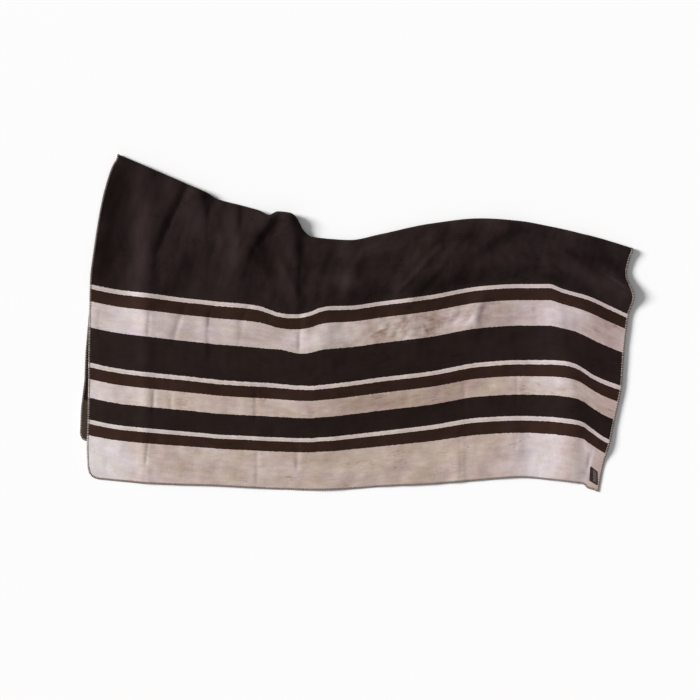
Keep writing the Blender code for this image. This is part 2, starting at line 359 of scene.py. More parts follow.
def near_height(x, y):
    """The height of the near half's middle surface: on the far half, and on the ground past its hem."""
    on_ground = CLOTH_THICKNESS / 2.0
    on_far_half = CLOTH_THICKNESS + GAP_BETWEEN_LAYERS + CLOTH_THICKNESS / 2.0
    edge = far_hem(x)
    over = smooth_step(edge - STEP_ENDS, edge - STEP_STARTS, y)
    back = (line("fold", x) - y) / ROLL_FADE
    roll = (ROLL_HEIGHT + on_ground - on_far_half) * np.exp(-(back**2))
    rest = on_ground + over * (on_far_half - on_ground) + roll
    raised = ridge_height(x, y) + swell(x, y) * (1.0 - patch_bed(x, y))
    return rest + np.maximum(raised - crease_depth(x, y), 0.0)


def roll_reach(x):
    """How far the rolled edge reaches back past the near half."""
    return ROLL_REACH + ROLL_REACH_PER_RIDGE_HEIGHT * ridge_height(x, line("fold", x) - ROLL_REACH)


# Where the cloth is drawn together, its stripes run in a point. One row for each pull on it, in
# millimetres: where it is, how far from the hem, how far back it draws the cloth and how far it reaches.
PULL_COLUMNS = ("x", "from_hem", "back", "reach_x", "reach_across")
PULLS = (
    (-290, 549, 9.5, 44, 55),
    (-198, 549, -2.5, 34, 55),
)


def pulled(x, from_hem):
    """How far back the cloth is drawn."""
    shift = np.zeros_like(x)
    for row in PULLS:
        pull = dict(zip(PULL_COLUMNS, row))
        along = (x - pull["x"]) / pull["reach_x"]
        across = (from_hem - pull["from_hem"]) / pull["reach_across"]
        shift += pull["back"] * np.exp(-(along**2 + across**2))
    return shift


def corner_lift(x, left, radius):
    """How far a round corner draws the hem back, by the distance from the left end."""
    inside = np.clip(radius - (x - left), 0.0, radius)
    return radius - np.sqrt(radius**2 - inside**2)


def near_plan_y(x, left, position):
    """Where a point of the near half lies, by its position between the hem at 0 and the fold at 4."""
    names = ("hem", "stripe_3", "stripe_2", "stripe_1")
    lines = [line(name, x) for name in names] + [line("fold", x) - roll_reach(x)]
    below = min(int(position), 3)
    y = lines[below] + (position - below) * (lines[below + 1] - lines[below])
    y = y + pulled(x, np.interp(position, range(5), CLOTH_AT_LINE))
    fade = max(0.0, 1.0 - position / NEAR_CORNER_FADE) ** 2
    return y + fade * corner_lift(x, left, NEAR_CORNER_RADIUS)


def far_plan_y(x, left, position):
    """The same for the far half, between the fold at 4 and the far hem at 5."""
    back = line("fold", x) - roll_reach(x)
    y = back + (position - 4.0) * (far_hem(x) - back)
    fade = max(0.0, 1.0 - (5.0 - position) / FAR_CORNER_FADE) ** 2
    return y + fade * corner_lift(x, left, FAR_CORNER_RADIUS)


def cloth_rows():
    """The sheet's middle surface as rows of points from the near hem over the fold to the far hem, and
    for each row how far it is along the cloth from the near hem."""
    even = np.linspace(0.0, 1.0, COLUMNS + 1)
    shares = even - COLUMNS_CLOSE_UP * np.sin(2.0 * np.pi * even) * np.abs(np.cos(np.pi * even))
    rows, from_hem = [], []

    def between_ends(position):
        left = smooth_through(END["position"], END["left"], np.array([position]))[0]
        right = smooth_through(END["position"], END["right"], np.array([position]))[0]
        return left, left + shares * (right - left)

    positions = [k + j / count for k, count in enumerate(NEAR_ROWS_PER_LINE) for j in range(count)] + [4.0]
    for position in positions:
        left, x = between_ends(position)
        y = near_plan_y(x, left, position)
        rows.append(np.stack([x, y, near_height(x, y)], axis=1))
        from_hem.append(np.interp(position, range(5), CLOTH_AT_LINE))

    x, y, top = rows[-1].T
    bottom = CLOTH_THICKNESS / 2.0
    for k in range(1, ROLL_ROWS):
        turn = np.pi * k / ROLL_ROWS
        z = (top + bottom) / 2.0 + (top - bottom) / 2.0 * np.cos(turn)
        rows.append(np.stack([x, y + roll_reach(x) * np.sin(turn), z], axis=1))
        from_hem.append(CLOTH_AT_LINE[-1] + CLOTH_IN_ROLL * k / ROLL_ROWS)

    for k in range(FAR_ROWS + 1):
        position = 4.0 + k / FAR_ROWS
        left, x = between_ends(position)
        y = far_plan_y(x, left, position)
        rows.append(np.stack([x, y, np.full_like(x, bottom)], axis=1))
        from_hem.append(CLOTH_WIDTH - (5.0 - position) * CLOTH_AT_LINE[-1])
    return np.array(rows) * MM, np.array(from_hem) * MM, shares * CLOTH_LENGTH * MM


def linear(colour):
    """A colour such as 8A6F5C, in sRGB, as Blender's linear red, green and blue."""
    parts = [int(colour[k:k + 2], 16) / 255.0 for k in (0, 2, 4)]
    return [c / 12.92 if c <= 0.04045 else ((c + 0.055) / 1.055) ** 2.4 for c in parts] + [1.0]


def new_material(name):
    """A material, its nodes and its shader."""
    made = bpy.data.materials.new(name)
    made.use_nodes = True
    return made, made.node_tree, made.node_tree.nodes["Principled BSDF"]


def add_node(tree, kind, settings=None, **links):
    """Adds a node. Settings are its own values, and a link is a value or another node's socket, by the
    name of the input, or by its place where the name is i0, i1 and so on."""
    node = tree.nodes.new(kind)
    for name, value in (settings or {}).items():
        setattr(node, name, value)
    for name, value in links.items():
        key = int(name[1:]) if name[0] == "i" and name[1:].isdigit() else name.replace("_", " ")
        if isinstance(value, bpy.types.NodeSocket):
            tree.links.new(value, node.inputs[key])
        else:
            node.inputs[key].default_value = value
    return node


# Brushed striped fleece, with a matt pile about 2 mm deep. The light and shade of its folds is painted into
# its colour: each stripe has a painted shade tone, a middle tone and a painted light tone, mixed by a
# painted light share. One row for each stripe: how far from the hem it starts, in metres, and the three
# tones of its yarn. A thin stripe is a little darker along its middle.
STRIPE_COLUMNS = ("starts", "deep", "middle", "painted_light")
PALE_TONES = ("876C60", "BBA89E", "E0D7D6")
ROSY_PALE_TONES = ("87695B", "BBABA6", "E0D5D6")
BROWN_TONES = ("20120D", "31201A", "3D2923")
THIN_TONES = ("AE9A92", "C8BAB5", "DED4D1")
THIN_SEAM_TONES = ("A59189", "BEAFAA", "D3C8C4")
BLACK_TONES = ("160E0C", "281E1D", "342827")
BLACK_BETWEEN_TONES = ("150D0B", "241A18", "2E2320")
STRIPES = (
    (0.000, *PALE_TONES), (0.155, *BROWN_TONES),
    (0.196, *THIN_TONES), (0.202, *THIN_SEAM_TONES), (0.2055, *THIN_TONES), (0.2125, *BLACK_BETWEEN_TONES),
    (0.290, *PALE_TONES), (0.3575, *BROWN_TONES),
    (0.400, *THIN_TONES), (0.406, *THIN_SEAM_TONES), (0.4095, *THIN_TONES), (0.4165, *BLACK_BETWEEN_TONES),
    (0.549, *ROSY_PALE_TONES), (0.646, *BROWN_TONES),
    (0.6925, *THIN_TONES), (0.699, *THIN_SEAM_TONES), (0.7025, *THIN_TONES), (0.709, *BLACK_TONES),
)
# How much painted light the cloth has along the stripes, which stands in for the broad light and shade of
# its folds: the place as a share of the length, and the painted light there. Between these distances from
# the hem, in metres, it evens out, and on the black ground behind them only a small share of the differences
# is left.
PAINTED_LIGHT_ALONG = (
    (0.00, 0.78), (0.04, 0.74), (0.16, 0.52), (0.35, 0.50), (0.45, 0.44), (0.56, 0.38),
    (0.67, 0.40), (0.78, 0.48), (0.88, 0.66), (0.95, 0.42), (1.00, 0.38),
)
GROUND_BEGINS_FROM, GROUND_BEGINS_TO = 0.66, 0.74
PAINTED_LIGHT_EVEN, PAINTED_LIGHT_LEFT_ON_GROUND = 0.40, 0.15
# Spots and strokes of painted highlight and painted shade, where folds catch or lose the light: the spot's
# middle along the stripes and from the hem and its reach both ways, in metres, how far it is turned, in
# degrees, and the painted light that it adds, below 0 where it is painted shade.
PAINTED_SPOT_COLUMNS = ("along", "from_hem", "reach_along", "reach_across", "turn", "adds")
PAINTED_LIGHT_SPOTS = (
    (0.05, 0.06, 0.13, 0.11, 0, 0.22),
    (0.92, 0.60, 0.13, 0.06, 0, 0.12),
    (1.00, 0.32, 0.12, 0.06, 0, -0.18),
    (1.12, 0.60, 0.09, 0.06, 0, -0.18),
    (1.96, 0.60, 0.08, 0.07, 0, -0.19),
    (1.24, 0.32, 0.28, 0.06, 0, -0.08),
    (1.40, 0.32, 0.12, 0.06, 0, -0.18),
    (1.97, 0.32, 0.08, 0.06, 0, 0.12),
    (1.28, 0.07, 0.40, 0.11, 0, 0.06),
    (1.61, 0.60, 0.12, 0.08, 0, -0.08),
    (1.84, 0.07, 0.12, 0.12, 0, 0.20),
    (1.99, 0.06, 0.05, 0.12, 0, 0.24),
    (2.010, 0.075, 0.060, 0.007, 86, 0.30),
    (0.045, 0.88, 0.060, 0.22, 0, -0.55),
    (0.175, 0.80, 0.032, 0.14, 0, 0.45),
    (0.360, 0.93, 0.045, 0.07, 0, 0.50),
    (0.500, 0.93, 0.045, 0.08, 0, 0.45),
    (0.655, 0.88, 0.045, 0.09, 0, -0.45),
    (0.960, 0.84, 0.035, 0.06, 0, 0.45),
    (1.030, 0.99, 0.160, 0.05, 0, 0.40),
    (1.400, 0.76, 0.500, 0.05, 0, -0.25),
    (1.930, 0.93, 0.100, 0.07, 0, -0.32),
    (1.930, 0.80, 0.060, 0.05, 0, 0.25),
    (1.244, 0.850, 0.105, 0.0145, 53, 0.42),
    (1.305, 0.795, 0.085, 0.016, 53, -0.24),
    (1.389, 0.889, 0.060, 0.022, 50, 0.18),
    (0.539, 0.856, 0.050, 0.012, 70, 0.45),
    (2.010, 0.850, 0.040, 0.010, -25, 0.45),
    (1.474, 0.600, 0.045, 0.012, 67, 0.22),
    (1.502, 0.600, 0.045, 0.012, 79, -0.20),
    (1.131, 0.600, 0.050, 0.006, 19, -0.20),
    (1.215, 0.606, 0.040, 0.006, 52, -0.18),
    (1.295, 0.582, 0.022, 0.006, -67, -0.18),
    (1.338, 0.560, 0.035, 0.005, -8, -0.14),
    (1.370, 0.610, 0.050, 0.006, -22, -0.16),
)


def noise_over_cloth(tree, place, along, across, detail):
    """Noise whose marks are about this long along the stripes and across them, in millimetres."""
    scaled = add_node(tree, "ShaderNodeVectorMath", {"operation": "MULTIPLY"}, i0=place,
                      i1=(1.0 / (along * MM), 1.0 / (across * MM), 0.0))
    noise = add_node(tree, "ShaderNodeTexNoise", Vector=scaled.outputs["Vector"], Scale=1.0, Detail=detail)
    return noise.outputs["Fac"]


def place_on_cloth(tree):
    """The place along the stripes and from the near hem, the place along alone, and how far the nearer hem
    is, in metres."""
    cloth = add_node(tree, "ShaderNodeAttribute", {"attribute_name": "cloth"})
    parts = add_node(tree, "ShaderNodeSeparateXYZ", Vector=cloth.outputs["Vector"])
    from_far = add_node(tree, "ShaderNodeMath", {"operation": "SUBTRACT"}, i0=CLOTH_WIDTH * MM,
                        i1=parts.outputs["Y"])
    nearer = add_node(tree, "ShaderNodeMath", {"operation": "MINIMUM"}, i0=parts.outputs["Y"],
                      i1=from_far.outputs["Value"])
    return cloth.outputs["Vector"], parts.outputs["X"], nearer.outputs["Value"]


# The stripes' edges fray by a millimetre or two, where the brushing has dragged one colour over the next:
# how long the tufts are along the edge, and the whole range of the noise that moves it.
FRAY_LENGTH = 9.0
FRAY_RANGE = 5.0


def frayed_by_brushing(tree, place, from_hem):
    """The place from the hem, shifted a little by noise, so that the stripes' edges fray."""
    fray = noise_over_cloth(tree, place, FRAY_LENGTH, FRAY_LENGTH, 2.0)
    frayed = add_node(tree, "ShaderNodeMath", {"operation": "MULTIPLY_ADD"}, i0=fray, i1=FRAY_RANGE * MM,
                      i2=-FRAY_RANGE / 2.0 * MM)
    moved = add_node(tree, "ShaderNodeMath", {"operation": "ADD"}, i0=from_hem, i1=frayed.outputs["Value"])
    return moved.outputs["Value"]


fleece, tree, shader = new_material("brushed striped fleece")
place, along, from_hem = place_on_cloth(tree)
frayed_from_hem = frayed_by_brushing(tree, place, from_hem)
length_share = add_node(tree, "ShaderNodeMath", {"operation": "DIVIDE"}, i0=along, i1=CLOTH_LENGTH * MM)


def stripes_in(tree, tone):
    """The stripes in one of their three tones (painted shade, middle, painted light), from the hem to the
    fold.
    """
    ramp = add_node(tree, "ShaderNodeValToRGB", Fac=frayed_from_hem)
    ramp.color_ramp.interpolation = "CONSTANT"
    stops = ramp.color_ramp.elements
    for row in STRIPES:
        stripe = dict(zip(STRIPE_COLUMNS, row))
        stop = stops.new(stripe["starts"]) if stripe["starts"] > 0.0 else stops[0]
        stop.color = linear(stripe[tone])
    stops[-1].color = linear(stripe[tone])
    return ramp.outputs["Color"]


def changes_along_stripes(tree, rows, between):
    """A value that changes along the stripes, by rows of a place, as a share of the length, and the value
    there. It goes from one row to the next as between says."""
    ramp = add_node(tree, "ShaderNodeValToRGB", Fac=length_share.outputs["Value"])
    ramp.color_ramp.interpolation = between
    stops = ramp.color_ramp.elements
    for share, value in rows:
        stop = stops.new(share) if 0.0 < share < 1.0 else stops[0 if share == 0.0 else -1]
        stop.color = (value, value, value, 1.0)
    return ramp.outputs["Color"]


# The painted light along the stripes, with most of its differences evened out on the black ground.
painted_light_ramp = changes_along_stripes(tree, PAINTED_LIGHT_ALONG, "EASE")
evens = add_node(tree, "ShaderNodeMapRange", Value=from_hem, From_Min=GROUND_BEGINS_FROM,
                 From_Max=GROUND_BEGINS_TO, To_Min=1.0, To_Max=PAINTED_LIGHT_LEFT_ON_GROUND)
over_even = add_node(tree, "ShaderNodeMath", {"operation": "SUBTRACT"}, i0=painted_light_ramp, i1=PAINTED_LIGHT_EVEN)
painted_light = add_node(tree, "ShaderNodeMath", {"operation": "MULTIPLY_ADD"}, i0=over_even.outputs["Value"],
                 i1=evens.outputs["Result"], i2=PAINTED_LIGHT_EVEN)

# The tone also drifts in blotches one or two hands wide and in clumps of tufts, which are drawn at 9 to 46
# mm, two or three times their real size, to show from this far. They are partly the pile's own mottle and
# partly painted light and shade of small folds. They run along the stripes and stand out most where the
# cloth is crumpled, as painted shade of the crumple. On the black ground most run across, as painted light
# and shade of its folds. One row for each: how long it is along the stripes and across them, its detail and
# its strength.
STRIPE_MARKS_AND_PAINTED_LIGHT = (
    (210.0, 110.0, 2.0, 0.42),
    (80.0, 50.0, 2.0, 0.40),
    (46.0, 14.0, 2.0, 0.30),
    (9.0, 7.0, 2.0, 0.14),
)
GROUND_MARKS_AND_PAINTED_LIGHT = (
    (210.0, 110.0, 2.0, 0.60),
    (70.0, 110.0, 2.0, 0.70),
    (28.0, 60.0, 2.0, 0.40),
    (9.0, 9.0, 2.0, 0.20),
)
# The crumple as a spot, in metres: its middle along the stripes and from the hem, its reach both ways and
# its turn. In it the marks on the stripes grow up to twice as strong, as painted light and shade of its
# small folds.
CRUMPLE_SPOT = (1.28, 0.60, 0.30, 0.075, 0)
# Where a spot has faded out, as a multiple of its reach.
SPOT_EDGE = 1.6


def marks_and_painted_light(tree, place, rows):
    """The blotches and clumps together, a little above and below 0: partly the pile's own mottle, partly
    painted light and shade of small folds.
    """
    total = 0.0
    for length, width, detail, strength in rows:
        blotches = noise_over_cloth(tree, place, length, width, detail)
        centred = add_node(tree, "ShaderNodeMath", {"operation": "SUBTRACT"}, i0=blotches, i1=0.5)
        added = add_node(tree, "ShaderNodeMath", {"operation": "MULTIPLY_ADD"}, i0=centred.outputs["Value"],
                         i1=strength, i2=total)
        total = added.outputs["Value"]
    return total


def spot(tree, place, middle_along, middle_from_hem, reach_along, reach_across, turn):
    """A soft oval on the cloth, 1 in its middle and 0 past its edge."""
    away = add_node(tree, "ShaderNodeMapping", {"vector_type": "TEXTURE"}, Vector=place,
                    Location=(middle_along, middle_from_hem, 0.0), Rotation=(0.0, 0.0, np.radians(turn)),
                    Scale=(reach_along, reach_across, 1.0))
    reach = add_node(tree, "ShaderNodeVectorMath", {"operation": "LENGTH"}, i0=away.outputs["Vector"])
    return add_node(tree, "ShaderNodeMapRange", {"interpolation_type": "SMOOTHSTEP"},
                    Value=reach.outputs["Value"], From_Min=SPOT_EDGE, From_Max=0.0).outputs["Result"]


# Each spot adds its painted highlight, and one that adds below 0 its painted shade.
for row in PAINTED_LIGHT_SPOTS:
    painted_spot = dict(zip(PAINTED_SPOT_COLUMNS, row))
    inside = spot(tree, place, painted_spot["along"], painted_spot["from_hem"], painted_spot["reach_along"], painted_spot["reach_across"],
                  painted_spot["turn"])
    painted_light = add_node(tree, "ShaderNodeMath", {"operation": "MULTIPLY_ADD"}, i0=inside, i1=painted_spot["adds"],
                     i2=painted_light.outputs["Value"])
gain = add_node(tree, "ShaderNodeMath", {"operation": "ADD"}, i0=spot(tree, place, *CRUMPLE_SPOT), i1=1.0)
on_stripes = add_node(tree, "ShaderNodeMath", {"operation": "MULTIPLY"}, i1=gain.outputs["Value"],
                      i0=marks_and_painted_light(tree, place, STRIPE_MARKS_AND_PAINTED_LIGHT))
on_ground = add_node(tree, "ShaderNodeMapRange", Value=from_hem, From_Min=GROUND_BEGINS_FROM,
                     From_Max=GROUND_BEGINS_TO)
marks = add_node(tree, "ShaderNodeMix", i0=on_ground.outputs["Result"], i2=on_stripes.outputs["Value"],
                 i3=marks_and_painted_light(tree, place, GROUND_MARKS_AND_PAINTED_LIGHT))
painted_light = add_node(tree, "ShaderNodeMath", {"operation": "ADD"}, i0=marks.outputs["Result"],
                 i1=painted_light.outputs["Value"])

# A few thin wrinkles wind over the cloth in the places where it was pressed, dented in its relief and
# darkened by painted shade. Each runs along the line where a wide noise crosses its middle value. These are
# how much painted shade they take, the noise's length and width, how near its middle value a wrinkle ends,
# and the same for the noise of the pressed places.
WRINKLE_PAINTED_SHADE = -0.19
WRINKLE_NOISE = (95.0, 20.0)
WRINKLE_HALF_WIDTH = 0.035
PRESSED_PLACES = (120.0, 70.0)
PRESSED_BEGIN, PRESSED_FULL = 0.54, 0.66


def wrinkles(tree, place):
    """1 along the wrinkles and 0 beside them."""
    wide = noise_over_cloth(tree, place, *WRINKLE_NOISE, 1.0)
    off_line = add_node(tree, "ShaderNodeMath", {"operation": "SUBTRACT"}, i0=wide, i1=0.5)
    beside = add_node(tree, "ShaderNodeMath", {"operation": "ABSOLUTE"}, i0=off_line.outputs["Value"])
    lines = add_node(tree, "ShaderNodeMapRange", {"interpolation_type": "SMOOTHSTEP"},
                     Value=beside.outputs["Value"], From_Min=WRINKLE_HALF_WIDTH, From_Max=0.0)
    pressed = add_node(tree, "ShaderNodeMapRange", {"interpolation_type": "SMOOTHSTEP"},
                       Value=noise_over_cloth(tree, place, *PRESSED_PLACES, 1.0), From_Min=PRESSED_BEGIN,
                       From_Max=PRESSED_FULL)
    both = add_node(tree, "ShaderNodeMath", {"operation": "MULTIPLY"}, i0=lines.outputs["Result"],
                    i1=pressed.outputs["Result"])
    return both.outputs["Value"]


wrinkled = wrinkles(tree, place)
painted_light = add_node(tree, "ShaderNodeMath", {"operation": "MULTIPLY_ADD"}, i0=wrinkled, i1=WRINKLE_PAINTED_SHADE,
                 i2=painted_light.outputs["Value"])
# The painted light share mixes each stripe's painted shade tone, middle tone and painted light tone.
to_middle = add_node(tree, "ShaderNodeMapRange", Value=painted_light.outputs["Value"], From_Min=0.0, From_Max=0.5)
toward_painted_light = add_node(tree, "ShaderNodeMapRange", Value=painted_light.outputs["Value"], From_Min=0.5, From_Max=1.0)
below = add_node(tree, "ShaderNodeMix", {"data_type": "RGBA"}, i0=to_middle.outputs["Result"],
                 A=stripes_in(tree, "deep"), B=stripes_in(tree, "middle"))
tones = add_node(tree, "ShaderNodeMix", {"data_type": "RGBA"}, i0=toward_painted_light.outputs["Result"],
                 A=below.outputs["Result"], B=stripes_in(tree, "painted_light"))

# The yarns drift between a rosy and an olive cast, and are rosiest at the right end. The rows say how olive
# they are, by the place as a share of the length. The blotches have this length and width, and the drift
# this strength.
ROSY_CAST, OLIVE_CAST = (1.00, 0.98, 1.045, 1.0), (0.995, 1.015, 0.955, 1.0)
OLIVE_SHARE = (
    (0.00, 0.45), (0.10, 0.35), (0.22, 0.50), (0.66, 0.60), (0.80, 0.25), (0.90, 0.05), (1.00, 0.00),
)
CAST_BLOTCHES = (110.0, 70.0)
CAST_DRIFT = 2.6
olive = changes_along_stripes(tree, OLIVE_SHARE, "LINEAR")
drift = add_node(tree, "ShaderNodeMath", {"operation": "MULTIPLY_ADD"}, i1=CAST_DRIFT, i2=-CAST_DRIFT / 2.0,
                 i0=noise_over_cloth(tree, place, *CAST_BLOTCHES, 1.0))
cast_share = add_node(tree, "ShaderNodeMath", {"operation": "ADD"}, i0=drift.outputs["Value"], i1=olive)
cast = add_node(tree, "ShaderNodeMix", {"data_type": "RGBA", "clamp_factor": True},
                i0=cast_share.outputs["Value"], A=ROSY_CAST, B=OLIVE_CAST)
coloured = add_node(tree, "ShaderNodeVectorMath", {"operation": "MULTIPLY"}, i0=tones.outputs["Result"],
                    i1=cast.outputs["Result"])
tree.links.new(coloured.outputs["Vector"], shader.inputs["Base Color"])

# The pile's clumps, by their length, width and detail, and how far the wrinkles press them down.
PILE_CLUMPS = (11.0, 7.0, 3.0)
WRINKLE_PRESSES = -0.4


def add_pile(tree, place, shader, wrinkled):
    """The relief and finish of the brushed pile: clumps that stand up a little, and the wrinkles."""
    clumps = noise_over_cloth(tree, place, *PILE_CLUMPS)
    dented = add_node(tree, "ShaderNodeMath", {"operation": "MULTIPLY_ADD"}, i0=wrinkled, i1=WRINKLE_PRESSES,
                      i2=clumps)
    pile = add_node(tree, "ShaderNodeBump", Height=dented.outputs["Value"], Strength=0.35, Distance=0.0018)
    tree.links.new(pile.outputs["Normal"], shader.inputs["Normal"])
    shader.inputs["Roughness"].default_value = 0.95
    shader.inputs["Specular IOR Level"].default_value = 0.05
    shader.inputs["Sheen Weight"].default_value = 0.03
    shader.inputs["Sheen Roughness"].default_value = 0.5


add_pile(tree, place, shader, wrinkled)

# The other face is brushed too. Its colours carry painted shade, as dark as they look in the shade under the
# near half: near black, but for the band along each hem, which comes out a dull olive brown. It drifts
# between two tones by the same marks as the black ground.
REVERSE_DEEP_TONES = ("120C0B", "2E251E")
REVERSE_PAINTED_LIGHT_TONES = ("2A201E", "4F4339")
# How wide that band is, in metres, and how much painted light this face has.
REVERSE_HEM_BAND = 0.141
REVERSE_PAINTED_LIGHT = 0.45
reverse, tree, shader = new_material("reverse of the fleece")
place, _, from_hem = place_on_cloth(tree)
hem_band = add_node(tree, "ShaderNodeMath", {"operation": "LESS_THAN"},
                    i0=frayed_by_brushing(tree, place, from_hem), i1=REVERSE_HEM_BAND)
wrinkled = wrinkles(tree, place)
marked = add_node(tree, "ShaderNodeMath", {"operation": "ADD"}, i1=REVERSE_PAINTED_LIGHT,
                  i0=marks_and_painted_light(tree, place, GROUND_MARKS_AND_PAINTED_LIGHT))
painted_light = add_node(tree, "ShaderNodeMath", {"operation": "MULTIPLY_ADD"}, i0=wrinkled, i1=WRINKLE_PAINTED_SHADE,
                 i2=marked.outputs["Value"])
banded = []
for black, olive in (REVERSE_DEEP_TONES, REVERSE_PAINTED_LIGHT_TONES):
    band = add_node(tree, "ShaderNodeMix", {"data_type": "RGBA"}, i0=hem_band.outputs["Value"],
                    A=linear(black), B=linear(olive))
    banded.append(band.outputs["Result"])
tones = add_node(tree, "ShaderNodeMix", {"data_type": "RGBA", "clamp_factor": True},
                 i0=painted_light.outputs["Value"], A=banded[0], B=banded[1])
tree.links.new(tones.outputs["Result"], shader.inputs["Base Color"])
add_pile(tree, place, shader, wrinkled)

cloth_points, row_from_hem, column_along = cloth_rows()
row_count, column_count = cloth_points.shape[:2]
sheet_mesh = bpy.data.meshes.new("fleece_sheet")
shell = bmesh.new()
bmesh.ops.create_grid(shell, x_segments=column_count - 1, y_segments=row_count - 1, size=1.0)
cloth_place = shell.verts.layers.float_vector.new("cloth")
for point in shell.verts:
    column = round((point.co.x + 1.0) / 2.0 * (column_count - 1))
    row = round((point.co.y + 1.0) / 2.0 * (row_count - 1))
    point.co = cloth_points[row, column]
    point[cloth_place] = (column_along[column], row_from_hem[row], 0.0)
for face in shell.faces:
    face.smooth = True
shell.to_mesh(sheet_mesh)
shell.free()


def put_in_scene(name, data):
    """A new object with this mesh, curve, light or camera."""
    made = bpy.data.objects.new(name, data)
    bpy.context.collection.objects.link(made)
    return made


fleece_sheet = put_in_scene("fleece_sheet", sheet_mesh)
sheet_mesh.materials.append(fleece)
sheet_mesh.materials.append(reverse)
thick = fleece_sheet.modifiers.new("cloth thickness", "SOLIDIFY")
thick.thickness = CLOTH_THICKNESS * MM
thick.offset = 0.0
thick.material_offset = 1
thick.material_offset_rim = 0

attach(fleece_sheet, "root")
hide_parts("blanket")

# The overcast edge
# Thick wool yarn, dark brown and ecru by turns, whipped over the raw edge of the sheet all the way round.
# Each stitch comes up out of the upper face, goes over and round the rim and into the lower face.

STITCH_PITCH = 3.25
YARN_RADIUS = 1.05
STITCH_SLANT = 2.2
# How far the stitches stray along the rim, and how much of a second such draw thickens their yarn.
STITCH_STRAYS = 0.35
YARN_VARIES = 0.25
# The way of the yarn over and round the rim, from where it comes up to where it goes down, by how far it
# is inward of the rim and above the middle of the cloth, in millimetres.
STITCH_COLUMNS = ("inward", "up")
STITCH_PATH = (
    (6.2, 0.8), (5.2, 2.1), (3.4, 2.7), (1.3, 2.6), (-0.1, 1.8),
    (-0.7, 0.0), (-0.1, -1.8), (1.3, -2.6), (4.4, -2.6), (5.8, -1.2),
)
# The lowest that the middle of the yarn lies above the ground.
LOWEST_YARN = 1.45


def rim_of(grid):
    """The points round the rim of the sheet, and the points one step in from them."""
    rim = np.concatenate([grid[0, :-1], grid[:-1, -1], grid[-1, :0:-1], grid[:0:-1, 0]])
    inner = np.concatenate([grid[1, :-1], grid[:-1, -2], grid[-2, :0:-1], grid[:0:-1, 1]])
    return np.concatenate([rim, rim[:1]]), np.concatenate([inner, inner[:1]])


def unit(vectors):
    return vectors / np.linalg.norm(vectors, axis=1)[:, None]


rim, inner = rim_of(cloth_points / MM)
run = np.concatenate([[0.0], np.cumsum(np.linalg.norm(np.diff(rim, axis=0), axis=1))])
stitch_count = 2 * int(run[-1] / STITCH_PITCH / 2.0)
at_stitch = np.arange(stitch_count) * run[-1] / stitch_count


def along_rim(points, at):
    """The points read at these distances along the rim."""
    return np.stack([np.interp(at % run[-1], run, points[:, k]) for k in range(3)], axis=1)


def spun(name, radius, finish):
    """A curve as thick as a yarn or a thread, for its stitches."""
    curve = bpy.data.curves.new(name, "CURVE")
    curve.dimensions = "3D"
    curve.bevel_depth = radius * MM
    curve.bevel_resolution = 1
    curve.use_fill_caps = True
    curve.materials.append(finish)
    return curve


root = along_rim(rim, at_stitch)
forward = unit(along_rim(rim, at_stitch + STITCH_PITCH) - along_rim(rim, at_stitch - STITCH_PITCH))
into = along_rim(inner, at_stitch) - root
inward = unit(into - forward * np.sum(into * forward, axis=1)[:, None])
outside = np.cross(forward, inward)
chance = np.random.default_rng(11)
# Each stitch has three draws: how far it strays, how thick its yarn is, and a spare one.
uneven = chance.normal(0.0, STITCH_STRAYS, (stitch_count, 3))

# Spun wool yarn, matt and hairy. Its fibres are far finer than they could show, so they are drawn as a
# relief about 1 mm across, and its tone varies over about 5 mm, from stitch to stitch.
YARNS = (
    ("dark brown wool yarn", "overcast_dark", "321F1A"),
    ("ecru wool yarn", "overcast_ecru", "CCBFB8"),
)
leans = np.linspace(-0.5, 0.5, len(STITCH_PATH)) * STITCH_SLANT
for turn, (yarn_name, piece_name, yarn_colour) in enumerate(YARNS):
    yarn, tree, shader = new_material(yarn_name)
    here = add_node(tree, "ShaderNodeTexCoord").outputs["Object"]
    fibres = add_node(tree, "ShaderNodeTexNoise", Vector=here, Scale=900.0, Detail=1.0)
    tufts = add_node(tree, "ShaderNodeTexNoise", Vector=here, Scale=180.0, Detail=2.0)
    worn = add_node(tree, "ShaderNodeMapRange", Value=tufts.outputs["Fac"], To_Min=0.6, To_Max=1.4)
    tone = add_node(tree, "ShaderNodeVectorMath", {"operation": "SCALE"}, i0=linear(yarn_colour)[:3],
                    Scale=worn.outputs["Result"])
    tree.links.new(tone.outputs["Vector"], shader.inputs["Base Color"])
    hairy = add_node(tree, "ShaderNodeBump", Height=fibres.outputs["Fac"], Strength=0.6, Distance=0.0005)
    tree.links.new(hairy.outputs["Normal"], shader.inputs["Normal"])
    shader.inputs["Roughness"].default_value = 0.9
    shader.inputs["Specular IOR Level"].default_value = 0.1

    stitches = spun(piece_name, YARN_RADIUS, yarn)
    for k in range(turn, stitch_count, len(YARNS)):
        spline = stitches.splines.new("POLY")
        spline.points.add(len(STITCH_PATH) - 1)
        for point, lean, row in zip(spline.points, leans, STITCH_PATH):
            step = dict(zip(STITCH_COLUMNS, row))
            aside = (lean + uneven[k, 0]) * forward[k]
            x, y, z = root[k] + step["inward"] * inward[k] + step["up"] * outside[k] + aside
            point.co = (x * MM, y * MM, max(z, LOWEST_YARN) * MM, 1.0)
            point.radius = 1.0 + YARN_VARIES * uneven[k, 1]
    edge = put_in_scene(piece_name, stitches)
    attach(edge, "root")

# The patch
# A slip of dark tanned leather about 30 by 55 mm, sewn round its edge to the corner of the cloth. A smaller
# plain field of paler leather, rubbed by use, lies on its right half.

PATCH_CORNERS = ((887, -542), (914, -564), (916, -618), (884, -599))
FIELD_CORNERS = ((898.5, -555.5), (911.2, -567.5), (911.8, -609.5), (898.0, -600.5))
